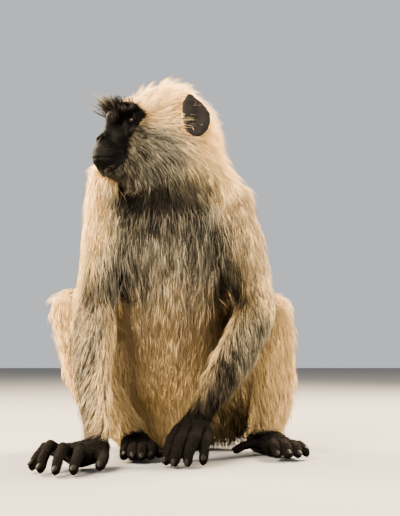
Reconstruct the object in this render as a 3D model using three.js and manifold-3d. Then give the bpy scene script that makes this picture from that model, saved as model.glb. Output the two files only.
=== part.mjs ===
// A gray langur sitting upright on the ground, life-size, with its knees drawn up,
// both hands on the ground before its feet and its head turned to its right.
//
// Millimetres, +Z up. The origin is the middle of the seat, on the ground.
// The animal's chest faces -Y and its left side is +X.
// Every solid includes the coat: its surface is where the tips of the hair lie.
import * as THREE from "three";
import { mergeVertices } from "three/addons/utils/BufferGeometryUtils.js";
import Module from "manifold-3d";

const wasm = await Module();
wasm.setup();

// ---- driving dimensions ------------------------------------------------------

const GAP = 0.35; // between two neighbouring pieces
const TOLERANCE = 0.12; // slivers thinner than this are merged away
const GROUND_DEPTH = 60; // how much is cut away below the ground
const RIGHT = -1;
const LEFT = 1;

const HEAD_CENTRE = new THREE.Vector3(-12, -55, 460); // between the ear canals
const HEAD_TURN = THREE.MathUtils.degToRad(-62); // to the animal's right
const EYE = { forward: 60, aside: 19, up: 4.5, radius: 10 };
const SOCKET = { forward: 78, aside: 22, up: 4, radius: 14 };

const CHEST_CUT = 212; // height of the cut between belly and chest
const NECK_CUT = 356; // and between chest and neck

const FINGER_RADIUS = 7.2;
const TOE_RADIUS = 7;

const COLOURS = {
  pale: 0xe3cfa8,
  grey: 0x9c8c74,
  skin: 0x26211e,
  eye: 0x2a1408,
};

// ---- helpers -----------------------------------------------------------------

const vector = ([x, y, z]) => new THREE.Vector3(x, y, z);

// A closed skin over rings of points, with a pole at each end.
function closeRings(startPole, rings, endPole) {
  const sides = rings[0].length;
  const points = [startPole, ...rings.flat(), endPole];
  const last = points.length - 1;
  const corner = (ring, side) => 1 + ring * sides + (side % sides);
  const faces = [];
  for (let side = 0; side < sides; side++) {
    faces.push(0, corner(0, side), corner(0, side + 1));
    for (let ring = 0; ring < rings.length - 1; ring++) {
      const [a, b] = [corner(ring, side), corner(ring, side + 1)];
      const [c, d] = [corner(ring + 1, side + 1), corner(ring + 1, side)];
      faces.push(a, d, c, a, c, b);
    }
    const top = rings.length - 1;
    faces.push(last, corner(top, side + 1), corner(top, side));
  }
  return new THREE.BufferGeometry().setFromPoints(points).setIndex(faces);
}

// A rounded limb through stations { at: [x, y, z], half: [side, front, back] }:
// the centre of each section, and its half sizes to the side, towards `facing`
// and away from it. `ends` is how far the round caps stand past the end stations
// (0 is a flat end), `from` and `to` keep a stretch, and `grow` thickens the whole.
function loft(stations, options = {}) {
  const { facing = [0, -1, 0], sides = 14, steps = 10, ends = [8, 8] } = options;
  const { from = 0, to = 1, grow = 0, capSteps = 3 } = options;
  const line = new THREE.CatmullRomCurve3(stations.map((s) => vector(s.at)));
  const sizes = new THREE.CatmullRomCurve3(stations.map((s) => vector(s.half)));
  sizes.curveType = "catmullrom";

  const frameAt = (t) => {
    const along = line.getTangent(t);
    const side = new THREE.Vector3().crossVectors(along, vector(facing)).normalize();
    const front = new THREE.Vector3().crossVectors(side, along);
    return { centre: line.getPoint(t), along, side, front, size: sizes.getPoint(t) };
  };
  const ringAt = (t, shift, scale) => {
    const { centre, along, side, front, size } = frameAt(t);
    return Array.from({ length: sides }, (_, k) => {
      const turn = (2 * Math.PI * k) / sides;
      const [c, s] = [Math.cos(turn), Math.sin(turn)];
      const deep = s > 0 ? size.y : size.z;
      return centre
        .clone()
        .addScaledVector(along, shift)
        .addScaledVector(side, c * (size.x + grow) * scale)
        .addScaledVector(front, s * (deep + grow) * scale);
    });
  };
  const poleAt = (t, shift) => {
    const { centre, along } = frameAt(t);
    return centre.clone().addScaledVector(along, shift);
  };

  const [startCap, endCap] = ends.map((end) => end + grow);
  const rings = [];
  for (let k = capSteps - 1; k > 0 && ends[0] > 0; k--) {
    const bend = (k / capSteps) * (Math.PI / 2);
    rings.push(ringAt(from, -startCap * Math.sin(bend), Math.cos(bend)));
  }
  for (let k = 0; k <= steps; k++) {
    const flatStart = k === 0 && ends[0] === 0;
    const flatEnd = k === steps && ends[1] === 0;
    const shift = grow * (Number(flatEnd) - Number(flatStart));
    rings.push(ringAt(from + ((to - from) * k) / steps, shift, 1));
  }
  for (let k = 1; k < capSteps && ends[1] > 0; k++) {
    const bend = (k / capSteps) * (Math.PI / 2);
    rings.push(ringAt(to, endCap * Math.sin(bend), Math.cos(bend)));
  }
  return closeRings(poleAt(from, -startCap), rings, poleAt(to, endCap));
}

function ball(centre, radius, grow = 0, detail = [16, 10]) {
  return new THREE.SphereGeometry(radius + grow, ...detail).translate(...centre.toArray());
}

function solidOf(geometry) {
  const bare = geometry.clone();
  bare.deleteAttribute("normal");
  bare.deleteAttribute("uv");
  const merged = mergeVertices(bare, 1e-4);
  return new wasm.Manifold(
    new wasm.Mesh({
      numProp: 3,
      vertProperties: merged.attributes.position.array,
      triVerts: new Uint32Array(merged.index.array),
    }),
  );
}

function geometryOf(solid) {
  const mesh = solid.getMesh();
  const geometry = new THREE.BufferGeometry();
  geometry.setAttribute("position", new THREE.BufferAttribute(mesh.vertProperties, 3));
  geometry.setIndex(new THREE.BufferAttribute(mesh.triVerts, 1));
  return geometry;
}

// The head's own directions: forward along the muzzle, aside to its left, and up.
function inHead(forward, aside, up) {
  const local = new THREE.Vector3(aside, -forward, up);
  return local.applyAxisAngle(new THREE.Vector3(0, 0, 1), HEAD_TURN).add(HEAD_CENTRE);
}

// Sections of the head, given in its own directions from a top and a bottom height.
function headStation(forward, top, bottom, wide, aside = 0) {
  const middle = (top + bottom) / 2;
  return {
    at: inHead(forward, aside, middle).toArray(),
    half: [wide, top - middle, middle - bottom],
  };
}

// ---- trunk and neck ------------------------------------------------------------

const TRUNK = [
  { at: [0, 12, 4], half: [46, 48, 46] },
  { at: [0, 14, 30], half: [62, 60, 68] },
  { at: [-2, 14, 80], half: [84, 84, 80] },
  { at: [-4, 8, 150], half: [91, 94, 86] },
  { at: [-5, -2, 215], half: [92, 92, 87] },
  { at: [-6, -14, 275], half: [98, 88, 84] },
  { at: [-8, -27, 330], half: [101, 80, 78] },
  { at: [-9, -38, 380], half: [104, 73, 70] },
  { at: [-11, -46, 420], half: [92, 68, 64] },
  { at: [-12, -52, 452], half: [74, 60, 56] },
];

// Where along the trunk's line a height lies, from 0 to 1.
function trunkShare(height) {
  const line = new THREE.CatmullRomCurve3(TRUNK.map((s) => vector(s.at)));
  let [low, high] = [0, 1];
  for (let k = 0; k < 30; k++) {
    const middle = (low + high) / 2;
    if (line.getPoint(middle).z < height) low = middle;
    else high = middle;
  }
  return low;
}

const trunkLength = (bottom, top, steps, ends) => (grow) =>
  loft(TRUNK, {
    sides: 20,
    steps,
    ends,
    capSteps: 2,
    from: bottom ? trunkShare(bottom + GAP) : 0,
    to: top ? trunkShare(top) : 1,
    grow,
  });

const belly = trunkLength(0, CHEST_CUT, 7, [14, 0]);
const chest = trunkLength(CHEST_CUT, NECK_CUT, 4, [0, 0]);
const neck = trunkLength(NECK_CUT, 0, 4, [0, 14]);

// ---- head ------------------------------------------------------------------------

const HEAD = [
  headStation(-72, 46, -44, 44),
  headStation(-54, 66, -64, 60),
  headStation(-22, 80, -80, 70),
  headStation(8, 77, -88, 72),
  headStation(34, 63, -88, 66),
  headStation(54, 47, -80, 52),
  headStation(68, 36, -64, 38),
];

// The bare face: a flat part round the eyes, the jaws, and the ridge of the nose.
const EYE_REGION = [
  headStation(56, 28, -68, 37),
  headStation(70, 27, -62, 34),
  headStation(78, 22, -46, 27),
];
const JAWS = [
  headStation(60, -16, -74, 31),
  headStation(82, -14, -78, 26),
  headStation(97, -20, -76, 22),
  headStation(106, -28, -68, 17),
];
const NOSE = [
  { at: inHead(77, 0, 22).toArray(), half: [10, 12, 10] },
  { at: inHead(80, 0, 6).toArray(), half: [8, 11, 12] },
  { at: inHead(86, 0, -6).toArray(), half: [8, 11, 14] },
  { at: inHead(95, 0, -18).toArray(), half: [10, 11, 14] },
  { at: inHead(98, 0, -28).toArray(), half: [13, 11, 14] },
];

const BROW_HALF_WIDTH = 33;

const upward = [0, 0, 1];
const head = (grow) =>
  loft(HEAD, { facing: upward, sides: 16, steps: 8, ends: [14, 6], capSteps: 3, grow });

const eyeRegion = (grow) =>
  loft(EYE_REGION, { facing: upward, sides: 12, steps: 3, ends: [6, 5], capSteps: 1, grow });

const jaws = (grow) =>
  loft(JAWS, { facing: upward, sides: 12, steps: 4, ends: [6, 8], capSteps: 2, grow });

function nose(grow) {
  const facing = inHead(1, 0, 0).sub(HEAD_CENTRE).toArray();
  return loft(NOSE, { facing, sides: 8, steps: 4, ends: [6, 6], capSteps: 1, grow });
}

// The ridge of stiff hair that stands forward and up over both eyes.
function brow(grow) {
  const station = (share) => {
    const aside = share * BROW_HALF_WIDTH;
    const bend = 1 - share * share;
    return {
      at: inHead(72 + 9 * bend, aside, 31 + 6 * bend).toArray(),
      half: [20 + 5 * bend, 8, 8],
    };
  };
  const stations = [-1, -0.5, 0, 0.5, 1].map(station);
  return loft(stations, { facing: upward, sides: 6, steps: 4, ends: [7, 7], capSteps: 1, grow });
}

const inFace = (place, side) => inHead(place.forward, side * place.aside, place.up);

const eye = (side) => (grow) => ball(inFace(EYE, side), EYE.radius, grow, [10, 8]);

// The hollow in which each eye looks out, under the brow and beside the nose.
const socket = (side) => () => ball(inFace(SOCKET, side), SOCKET.radius, 0, [10, 6]);

// The ear is an upright plate with a rounded point, hollowed on its outer face.
function ear(side) {
  const station = (forward, aside, up, wide, thick) => ({
    at: inHead(forward, side * aside, up).toArray(),
    half: [wide, thick, thick],
  });
  const plate = [
    station(-14, 67, -18, 9, 5),
    station(-13, 71, -4, 19, 5.5),
    station(-14, 74, 10, 23, 5.5),
    station(-9, 75, 24, 18, 5),
    station(-1, 73, 37, 8, 4),
  ];
  const facing = inHead(0.28, side, 0).sub(HEAD_CENTRE).toArray();
  return (grow) => loft(plate, { facing, sides: 10, steps: 4, ends: [5, 5], capSteps: 1, grow });
}

const earHollow = (side) => () => ball(inHead(-6, side * 100, 10), 25, 0, [10, 8]);

// ---- arms --------------------------------------------------------------------------

const ARMS = {
  right: {
    shoulder: [-91, -34, 390],
    upper: [-98, -54, 300],
    elbow: [-109, -98, 206],
    mid: [-107, -140, 130],
    low: [-100, -166, 74],
    wrist: [-90, -191, 32],
  },
  left: {
    shoulder: [73, -44, 360],
    upper: [91, -58, 290],
    elbow: [115, -86, 203],
    mid: [78, -114, 128],
    low: [52, -130, 90],
    wrist: [33, -143, 58],
  },
};
const ARM_FACING = [0, -1, 0.3];

const upperArm = (arm) => (grow) =>
  loft(
    [
      { at: arm.shoulder, half: [43, 48, 46] },
      { at: arm.upper, half: [40, 40, 40] },
      { at: arm.elbow, half: [30, 30, 32] },
    ],
    { facing: ARM_FACING, sides: 12, steps: 4, ends: [38, 14], capSteps: 2, grow },
  );

const forearm = (arm) => (grow) =>
  loft(
    [
      { at: arm.elbow, half: [30, 29, 33] },
      { at: arm.mid, half: [28, 24, 30] },
      { at: arm.low, half: [22, 19, 23] },
      { at: arm.wrist, half: [17, 13, 14] },
    ],
    { facing: ARM_FACING, sides: 10, steps: 4, ends: [18, 6], capSteps: 2, grow },
  );

// ---- hands and feet ------------------------------------------------------------------

const digit = (radius, joints) => (grow) =>
  loft(
    joints.map((at, k) => {
      const size = radius * (1 - 0.07 * k);
      return { at, half: [size, size * 0.92, size * 0.92] };
    }),
    { facing: [0, -0.4, 1], sides: 6, steps: 3, ends: [radius, radius * 0.7], capSteps: 2, grow },
  );

const palm = (stations) => (grow) =>
  loft(stations, { facing: [0, -0.4, 1], sides: 10, steps: 4, ends: [8, 6], capSteps: 2, grow });

const HANDS = {
  right: {
    palm: [
      { at: [-89, -194, 28], half: [16, 12, 14] },
      { at: [-100, -212, 22], half: [20, 12, 16] },
      { at: [-120, -230, 17], half: [24, 11, 12] },
    ],
    thumb: [[-86, -206, 20], [-80, -230, 16], [-83, -252, 7]],
    index: [[-104, -234, 18], [-106, -259, 26], [-108, -278, 18], [-109, -290, 7]],
    middle: [[-119, -237, 20], [-125, -263, 31], [-128, -282, 20], [-129, -294, 7]],
    ring: [[-132, -229, 21], [-142, -251, 33], [-147, -267, 20], [-149, -277, 7]],
    little: [[-138, -216, 19], [-151, -234, 28], [-159, -247, 17], [-163, -255, 7]],
  },
  left: {
    palm: [
      { at: [32, -146, 56], half: [16, 11, 12] },
      { at: [29, -160, 47], half: [21, 11, 11] },
      { at: [26, -172, 42], half: [24, 10, 10] },
    ],
    thumb: [[14, -150, 42], [4, -158, 26], [-1, -163, 10]],
    index: [[7, -170, 42], [0, -192, 33], [-4, -202, 19], [-6, -205, 7]],
    middle: [[19, -176, 44], [13, -201, 35], [8, -212, 20], [5, -215, 7]],
    ring: [[33, -176, 44], [28, -201, 35], [23, -212, 20], [21, -215, 7]],
    little: [[45, -168, 40], [43, -191, 31], [41, -201, 18], [40, -204, 7]],
  },
};

const FEET = {
  right: {
    sole: [
      { at: [-58, -38, 16], half: [16, 14, 18] },
      { at: [-56, -64, 20], half: [19, 15, 20] },
      { at: [-50, -96, 16], half: [21, 13, 16] },
      { at: [-45, -122, 12], half: [22, 10, 12] },
    ],
    hallux: [[-38, -92, 14], [-24, -118, 16], [-17, -140, 8]],
    second: [[-30, -122, 13], [-27, -146, 19], [-27, -162, 8]],
    third: [[-41, -128, 13], [-39, -154, 20], [-39, -170, 8]],
    fourth: [[-52, -126, 13], [-51, -152, 19], [-51, -167, 8]],
    fifth: [[-62, -119, 12], [-63, -142, 16], [-63, -156, 7]],
  },
  left: {
    sole: [
      { at: [117, -22, 16], half: [16, 14, 18] },
      { at: [126, -46, 20], half: [19, 15, 20] },
      { at: [138, -76, 17], half: [21, 13, 16] },
      { at: [145, -100, 13], half: [22, 11, 12] },
    ],
    hallux: [[120, -76, 14], [100, -90, 17], [84, -100, 9]],
    second: [[131, -106, 14], [134, -130, 22], [136, -146, 8]],
    third: [[143, -109, 14], [148, -132, 23], [151, -149, 8]],
    fourth: [[154, -105, 14], [161, -127, 21], [165, -142, 8]],
    fifth: [[163, -97, 13], [172, -116, 18], [177, -129, 8]],
  },
};

// ---- legs ------------------------------------------------------------------------------

const LEGS = {
  right: {
    hip: [-46, 20, 68],
    thigh: [-93, -14, 120],
    knee: [-149, -60, 212],
    calf: [-130, -62, 142],
    lowCalf: [-115, -62, 96],
    shin: [-92, -62, 61],
    ankle: [-62, -60, 32],
  },
  left: {
    hip: [50, 8, 63],
    thigh: [91, -8, 110],
    knee: [139, -38, 205],
    calf: [141, -36, 140],
    lowCalf: [139, -36, 92],
    shin: [135, -38, 56],
    ankle: [130, -42, 34],
  },
};

const thigh = (leg) => (grow) =>
  loft(
    [
      { at: leg.hip, half: [58, 52, 64] },
      { at: leg.thigh, half: [46, 50, 66] },
      { at: leg.knee, half: [29, 31, 31] },
    ],
    { facing: [0, -0.6, 0.6], sides: 12, steps: 4, ends: [36, 16], capSteps: 2, grow },
  );

const shin = (leg) => (grow) =>
  loft(
    [
      { at: leg.knee, half: [29, 30, 34] },
      { at: leg.calf, half: [31, 28, 40] },
      { at: leg.lowCalf, half: [32, 26, 36] },
      { at: leg.shin, half: [30, 23, 27] },
      { at: leg.ankle, half: [24, 20, 21] },
    ],
    { facing: [0, -1, 0], sides: 10, steps: 6, ends: [20, 8], capSteps: 2, grow },
  );

// ---- tail --------------------------------------------------------------------------------

// It drops from the rump to the ground and lies there in a hook behind the animal.
const TAIL_LINE = [
  [0, 70, 66],
  [-8, 114, 30],
  [-32, 172, 15],
  [-64, 256, 14],
  [-76, 346, 13],
  [-50, 430, 13],
  [14, 478, 13],
  [90, 462, 13],
  [140, 398, 12.5],
  [156, 316, 12],
  [150, 234, 12],
  [128, 164, 12],
  [108, 114, 12],
];
const TAIL_THICK = [22, 18, 15.5, 14.5, 14, 14, 14, 14, 13.5, 13.5, 13.5, 14, 11];
const TAIL_LENGTHS = 6;

const tailLength = (part) => (grow) =>
  loft(
    TAIL_LINE.map((at, k) => ({ at, half: [TAIL_THICK[k], TAIL_THICK[k], TAIL_THICK[k]] })),
    {
      facing: [0, 0, 1],
      sides: 8,
      steps: 4,
      capSteps: 2,
      from: part / TAIL_LENGTHS + (part ? 0.0006 : 0),
      to: (part + 1) / TAIL_LENGTHS,
      ends: [part ? 0 : 10, part === TAIL_LENGTHS - 1 ? 16 : 0],
      grow,
    },
  );

// ---- the animal, in the order in which a piece is cut back by those before it -----------

const SHAPES = [];
const add = (name, colour, shape, extra = {}) => SHAPES.push({ name, colour, shape, ...extra });

add("belly", "pale", belly);
add("chest", "grey", chest);
add("eye_right", "eye", eye(RIGHT));
add("eye_left", "eye", eye(LEFT));
add("head", "pale", head, { more: [brow], less: [socket(RIGHT), socket(LEFT)] });
add("face", "skin", eyeRegion, { more: [jaws, nose], less: [socket(RIGHT), socket(LEFT)] });
add("neck", "pale", neck);
add("ear_right", "skin", ear(RIGHT), { less: [earHollow(RIGHT)] });
add("ear_left", "skin", ear(LEFT), { less: [earHollow(LEFT)] });
for (const side of ["right", "left"]) {
  add(`upper_arm_${side}`, "pale", upperArm(ARMS[side]));
  add(`forearm_${side}`, "grey", forearm(ARMS[side]));
  const { palm: palmStations, ...fingers } = HANDS[side];
  add(`hand_${side}`, "skin", palm(palmStations));
  for (const [name, joints] of Object.entries(fingers))
    add(`${name}_finger_${side}`.replace("thumb_finger", "thumb"), "skin", digit(FINGER_RADIUS, joints));
}
for (const side of ["right", "left"]) {
  add(`thigh_${side}`, "pale", thigh(LEGS[side]));
  add(`shin_${side}`, "pale", shin(LEGS[side]));
  const { sole, ...toes } = FEET[side];
  add(`foot_${side}`, "skin", palm(sole));
  for (const [name, joints] of Object.entries(toes))
    add(`${name}_toe_${side}`, "skin", digit(TOE_RADIUS, joints));
}
const tailNames = ["tail_base", "tail_length_2", "tail_length_3", "tail_length_4", "tail_length_5", "tail_tip"];
tailNames.forEach((name, part) => add(name, "pale", tailLength(part)));

const ground = solidOf(
  new THREE.BoxGeometry(2000, 2000, GROUND_DEPTH).translate(0, 0, -GROUND_DEPTH / 2),
);

// A shape with the pieces joined to it, all grown alike.
function wholeOf({ shape, more = [] }, grow) {
  return more.reduce((solid, piece) => solid.add(solidOf(piece(grow))), solidOf(shape(grow)));
}

const apart = (a, b) =>
  [0, 1, 2].some((axis) => a.max[axis] < b.min[axis] || b.max[axis] < a.min[axis]);

const animal = new THREE.Group();
const cutters = [];
for (const entry of SHAPES) {
  let solid = wholeOf(entry, 0).subtract(ground);
  for (const hollow of entry.less ?? []) solid = solid.subtract(solidOf(hollow()));
  const room = solid.boundingBox();
  for (const cutter of cutters)
    if (!apart(room, cutter.room)) solid = solid.subtract(cutter.solid);
  const tidy = solid.simplify(TOLERANCE);
  const largest = tidy.decompose().reduce((a, b) => (a.volume() > b.volume() ? a : b));
  const grown = wholeOf(entry, GAP);
  cutters.push({ solid: grown, room: grown.boundingBox() });
  const material = new THREE.MeshStandardMaterial({
    color: COLOURS[entry.colour],
    roughness: entry.colour === "eye" ? 0.1 : 0.8,
    metalness: 0,
  });
  const mesh = new THREE.Mesh(geometryOf(largest), material);
  mesh.name = entry.name;
  animal.add(mesh);
}

export default animal;
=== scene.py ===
# %% [markdown]
# # A gray langur, sitting
#
# The animal is one skin with a coat of hair locks over it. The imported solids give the
# body out to the tips of the hair, so the skin starts as their joined surface, sinks
# below it by the depth of the coat, and the locks grow back out to where it was.

# %% Load the frame
import math
import time

import bmesh
import bpy
import numpy as np
from mathutils import Matrix, Vector
from mathutils.bvhtree import BVHTree
from mathutils.kdtree import KDTree


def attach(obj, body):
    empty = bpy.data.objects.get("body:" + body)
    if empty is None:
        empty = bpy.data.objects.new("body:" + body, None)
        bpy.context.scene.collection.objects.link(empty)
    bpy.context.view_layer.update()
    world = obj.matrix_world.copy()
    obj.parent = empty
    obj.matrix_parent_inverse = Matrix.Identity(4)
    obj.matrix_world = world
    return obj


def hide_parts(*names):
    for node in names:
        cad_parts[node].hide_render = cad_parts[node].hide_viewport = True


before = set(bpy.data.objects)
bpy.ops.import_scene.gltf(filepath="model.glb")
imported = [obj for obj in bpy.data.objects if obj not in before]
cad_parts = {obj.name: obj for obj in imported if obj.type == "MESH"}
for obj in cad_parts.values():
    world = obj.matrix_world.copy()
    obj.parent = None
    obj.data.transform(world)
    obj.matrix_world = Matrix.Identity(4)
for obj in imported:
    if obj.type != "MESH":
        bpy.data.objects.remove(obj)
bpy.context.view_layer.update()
START = time.time()
MM = 0.001
rng = np.random.default_rng(7)


def done(what):
    print(f"{time.time() - START:6.1f} s  {what}")


def new_object(name, data):
    piece = bpy.data.objects.new(name, data)
    bpy.context.scene.collection.objects.link(piece)
    return piece


def mesh_from(part, name="spare"):
    """The bmesh as a mesh of that name; the bmesh is freed."""
    mesh = bpy.data.meshes.new(name)
    part.to_mesh(mesh)
    part.free()
    return mesh


# %% [markdown]
# ## Camera, floor and light
#
# The camera stands low, a little over a metre away, so the animal is seen nearly level.
# The light is a large soft one from the upper left, with a weaker one from the right.
# Two rim lights behind make the tips of the pale hair glow.

# %% Camera
SENSOR, LENS = 36, 62.7907  # mm
CAMERA_TILT = 5.83663  # degrees up from level
camera = new_object("camera", bpy.data.cameras.new("camera"))
camera.location = (0.036, -1.340, 0.145)
camera.rotation_euler = (math.radians(90 + CAMERA_TILT), 0, 0)
camera.data.sensor_fit = "VERTICAL"
camera.data.sensor_width = camera.data.sensor_height = SENSOR
camera.data.lens = LENS
bpy.context.scene.camera = camera

# %% Floor and world
grid = bmesh.new()
bmesh.ops.create_grid(grid, x_segments=1, y_segments=1, size=6)
floor = new_object("floor", mesh_from(grid, "floor"))

world = bpy.data.worlds.new("world")
bpy.context.scene.world = world
world.use_nodes = True
sky = world.node_tree.nodes["Background"].inputs
sky["Color"].default_value, sky["Strength"].default_value = (0.93, 0.96, 1.0, 1), 0.68


# %% Lights
def area_light(name, place, target, size, watts, colour):
    light = new_object(name, bpy.data.lights.new(name, "AREA"))
    light.location = place
    light.rotation_euler = (Vector(target) - Vector(place)).to_track_quat("-Z", "Y").to_euler()
    light.data.size, light.data.energy, light.data.color = size, watts, colour


area_light("key", (-1.3, -1.5, 1.7), (0, -0.05, 0.3), 1.0, 600, (1.0, 0.83, 0.62))
area_light("fill", (1.7, -1.2, 0.5), (0, -0.05, 0.2), 1.4, 105, (1.0, 0.95, 0.89))
area_light("rim_right", (1.1, 1.0, 1.5), (0, 0, 0.4), 0.8, 620, (1.0, 0.77, 0.50))
area_light("rim_left", (-1.4, 0.6, 1.4), (0, 0, 0.4), 0.8, 540, (1.0, 0.77, 0.50))
done("camera, floor, lights")


# %% [markdown]
# ## A little language for materials
#
# Shader maths reads better as expressions than as node by node wiring, so one small
# class wraps a socket and turns `a * b + c` into Math nodes.

# %% Shader helpers
class Socket:
    """A node's output that can be used in arithmetic."""

    def __init__(self, material, socket):
        self.material, self.socket = material, socket

    def math(self, operation, other):
        return self.material.node("ShaderNodeMath", {"operation": operation}, {0: self, 1: other})

    def __add__(self, other): return self.math("ADD", other)
    __radd__ = __add__
    def __sub__(self, other): return self.math("SUBTRACT", other)
    def __rsub__(self, other): return (self * -1) + other
    def __mul__(self, other): return self.math("MULTIPLY", other)
    __rmul__ = __mul__
    def __pow__(self, other): return self.math("POWER", other)

    def ramp(self, low, high):
        """0 below low, 1 above high, and smooth between them."""
        return self.material.node("ShaderNodeMapRange", {"interpolation_type": "SMOOTHSTEP"},
                                  {"Value": self, "From Min": low, "From Max": high})


class Material:
    """A Principled material and the nodes that feed it."""

    def __init__(self, name, **constants):
        self.data = bpy.data.materials.new(name)
        self.data.use_nodes = True
        self.nodes = self.data.node_tree.nodes
        self.links = self.data.node_tree.links
        self.shader = self.nodes["Principled BSDF"]
        for key, value in constants.items():
            self.shader.inputs[key.replace("_", " ")].default_value = value

    def node(self, kind, settings=None, inputs=None, output=0):
        """Any node: its type, its settings, then the values or links of its sockets."""
        node = self.nodes.new(kind)
        for key, value in (settings or {}).items():
            setattr(node, key, value)
        for key, value in (inputs or {}).items():
            self.plug(node.inputs[key], value)
        return Socket(self, node.outputs[output])

    def plug(self, target, value):
        if isinstance(value, Socket):
            self.links.new(value.socket, target)
        elif hasattr(value, "__len__") and len(value) == 3 and len(target.default_value) == 4:
            target.default_value = (*value, 1)
        else:
            target.default_value = value

    def set(self, name, value):
        self.plug(self.shader.inputs[name], value)

    def attribute(self, name):
        return self.node("ShaderNodeAttribute", {"attribute_name": name}, output="Fac")

    def place(self):
        return self.node("ShaderNodeTexCoord", output="Object")

    def noise(self, scale, detail=3.0):
        return self.node("ShaderNodeTexNoise", {},
                         {"Vector": self.place(), "Scale": scale, "Detail": detail})

    def mix(self, share, first, second):
        """A mix of two colours: sockets 6 and 7 are those of a Mix node set to colours."""
        return self.node("ShaderNodeMix", {"data_type": "RGBA"}, {0: share, 6: first, 7: second}, 2)

    def bump(self, height, strength, distance):
        return self.node("ShaderNodeBump", {}, {"Height": height, "Strength": strength,
                                                "Distance": distance})


floor_look = Material("floor_look", Roughness=0.85)
floor_look.set("Base Color", floor_look.mix(floor_look.noise(3.0), (0.110, 0.112, 0.114),
                                            (0.128, 0.130, 0.132)))
floor.data.materials.append(floor_look.data)

# %% [markdown]
# ## Directions of the head
#
# The head is turned far to the animal's right, so everything on it is worked out in the
# head's own directions: forward along the muzzle, aside to its left, and up.

# %% Head frame
HEAD_CENTRE = np.array((-12.0, -55.0, 460.0))  # between the ear canals, in mm
HEAD_TURN = math.radians(62)
FORWARD = np.array((-math.sin(HEAD_TURN), -math.cos(HEAD_TURN), 0.0))
ASIDE = np.array((math.cos(HEAD_TURN), -math.sin(HEAD_TURN), 0.0))
UP = np.array((0.0, 0.0, 1.0))
HEAD_AXES = np.stack([FORWARD, ASIDE, UP])


def from_head(points):
    """Head directions in mm to the frame in metres."""
    return (HEAD_CENTRE + np.asarray(points, float) @ HEAD_AXES) * MM


def to_head(points):
    """The frame in metres to head directions in mm."""
    return (np.asarray(points, float) / MM - HEAD_CENTRE) @ HEAD_AXES.T


def ramp(x, low, high):
    """0 below low, 1 above high, and smooth between them."""
    t = np.clip((x - low) / (high - low), 0, 1)
    return t * t * (3 - 2 * t)


def bell(x, width):
    return np.exp(-(x / width) ** 2)


# %% [markdown]
# ## Body under the coat
#
# The flesh solids are joined by growing each one until it just overlaps its neighbours
# and wrapping the whole in an even net of squares (a voxel remesh). Then every point
# sinks by the depth of the coat over it, which is nothing on the hands and feet and
# most on the neck.

# %% Zones of the body: how deep the coat is and how long its hair, in mm
#            sink  length height width
ZONES = {
    "head":      (22, 23, 9, 0.88),
    "neck":      (20, 38, 8.5, 0.92),
    "chest":     (8, 38, 8.5, 0.90),
    "belly":     (8, 34, 8, 0.88),
    "upper_arm": (9.5, 36, 7, 0.90),
    "forearm":   (5.5, 27, 6, 0.85),
    "hand":      (-0.9, 8, 1.3, 0.75),
    "finger":    (-1.3, 5, 0.6, 0.60),
    "thigh":     (5, 30, 8.5, 0.90),
    "shin":      (4.5, 27, 7, 0.88),
    "foot":      (-0.4, 9, 1.8, 0.80),
    "toe":       (-0.8, 6, 1.0, 0.65),
    "tail":      (3.5, 13, 3.5, 1.10),
    "face":      (0, 0, 0, 0.5),
    "ear":       (0, 0, 0, 0.5),
}
ZONE_NAMES = list(ZONES)
ZONE_TABLE = np.array([ZONES[z] for z in ZONE_NAMES], float)


def zone_of(node):
    if "finger" in node or "thumb" in node:
        return "finger"
    return next(z for z in ZONE_NAMES if z in node)


NODES = sorted(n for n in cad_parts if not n.startswith("eye_"))
BODY_NODES = [n for n in NODES if zone_of(n) not in ("face", "ear")]
print(len(BODY_NODES), "solids under the body's skin")


# %% Mesh helpers
def read(items, field, width, kind=np.float32):
    """One field of a mesh's points, edges, corners or triangles, as rows of numbers."""
    values = np.empty(len(items) * width, kind)
    items.foreach_get(field, values)
    return values.reshape(-1, width)


def points_of(mesh):
    return read(mesh.vertices, "co", 3).astype(float)


def set_points(mesh, co):
    mesh.vertices.foreach_set("co", co.astype(np.float32).ravel())
    mesh.update()


def normals_of(mesh):
    return read(mesh.vertices, "normal", 3).astype(float)


def edges_of(mesh):
    return read(mesh.edges, "vertices", 2, np.int32)


def triangles_of(mesh, field="vertices"):
    """The three points, or corners, of every triangle."""
    mesh.calc_loop_triangles()
    return read(mesh.loop_triangles, field, 3, np.int32)


def smooth_shaded(mesh):
    mesh.polygons.foreach_set("use_smooth", np.ones(len(mesh.polygons), bool))


def averaged(values, edges, rounds, share=0.5):
    """Values at the points of a mesh, averaged with their neighbours' over and over."""
    count = len(values)
    flat = values.reshape(count, -1).copy()
    degree = np.maximum(np.bincount(edges.ravel(), minlength=count), 1)[:, None]
    share = np.asarray(share, float).reshape(-1, 1)
    for _ in range(rounds):
        total = np.stack([
            np.bincount(edges[:, 0], flat[edges[:, 1], k], count)
            + np.bincount(edges[:, 1], flat[edges[:, 0], k], count)
            for k in range(flat.shape[1])], 1)
        flat += share * (total / degree - flat)
    return flat.reshape(values.shape)


def with_modifier(piece, kind, **settings):
    """The piece's mesh with one modifier applied."""
    modifier = piece.modifiers.new(kind.title(), kind)
    for key, value in settings.items():
        setattr(modifier, key, value)
    graph = bpy.context.evaluated_depsgraph_get()
    mesh = bpy.data.meshes.new_from_object(piece.evaluated_get(graph))
    piece.modifiers.clear()
    old = piece.data
    piece.data = mesh
    bpy.data.meshes.remove(old)
    return mesh


def remeshed(piece, size):
    return with_modifier(piece, "REMESH", mode="VOXEL", voxel_size=size * MM, adaptivity=0)


def add_to(target, part):
    """Adds one bmesh to another, and frees it."""
    spare = mesh_from(part)
    target.from_mesh(spare)
    bpy.data.meshes.remove(spare)


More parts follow.
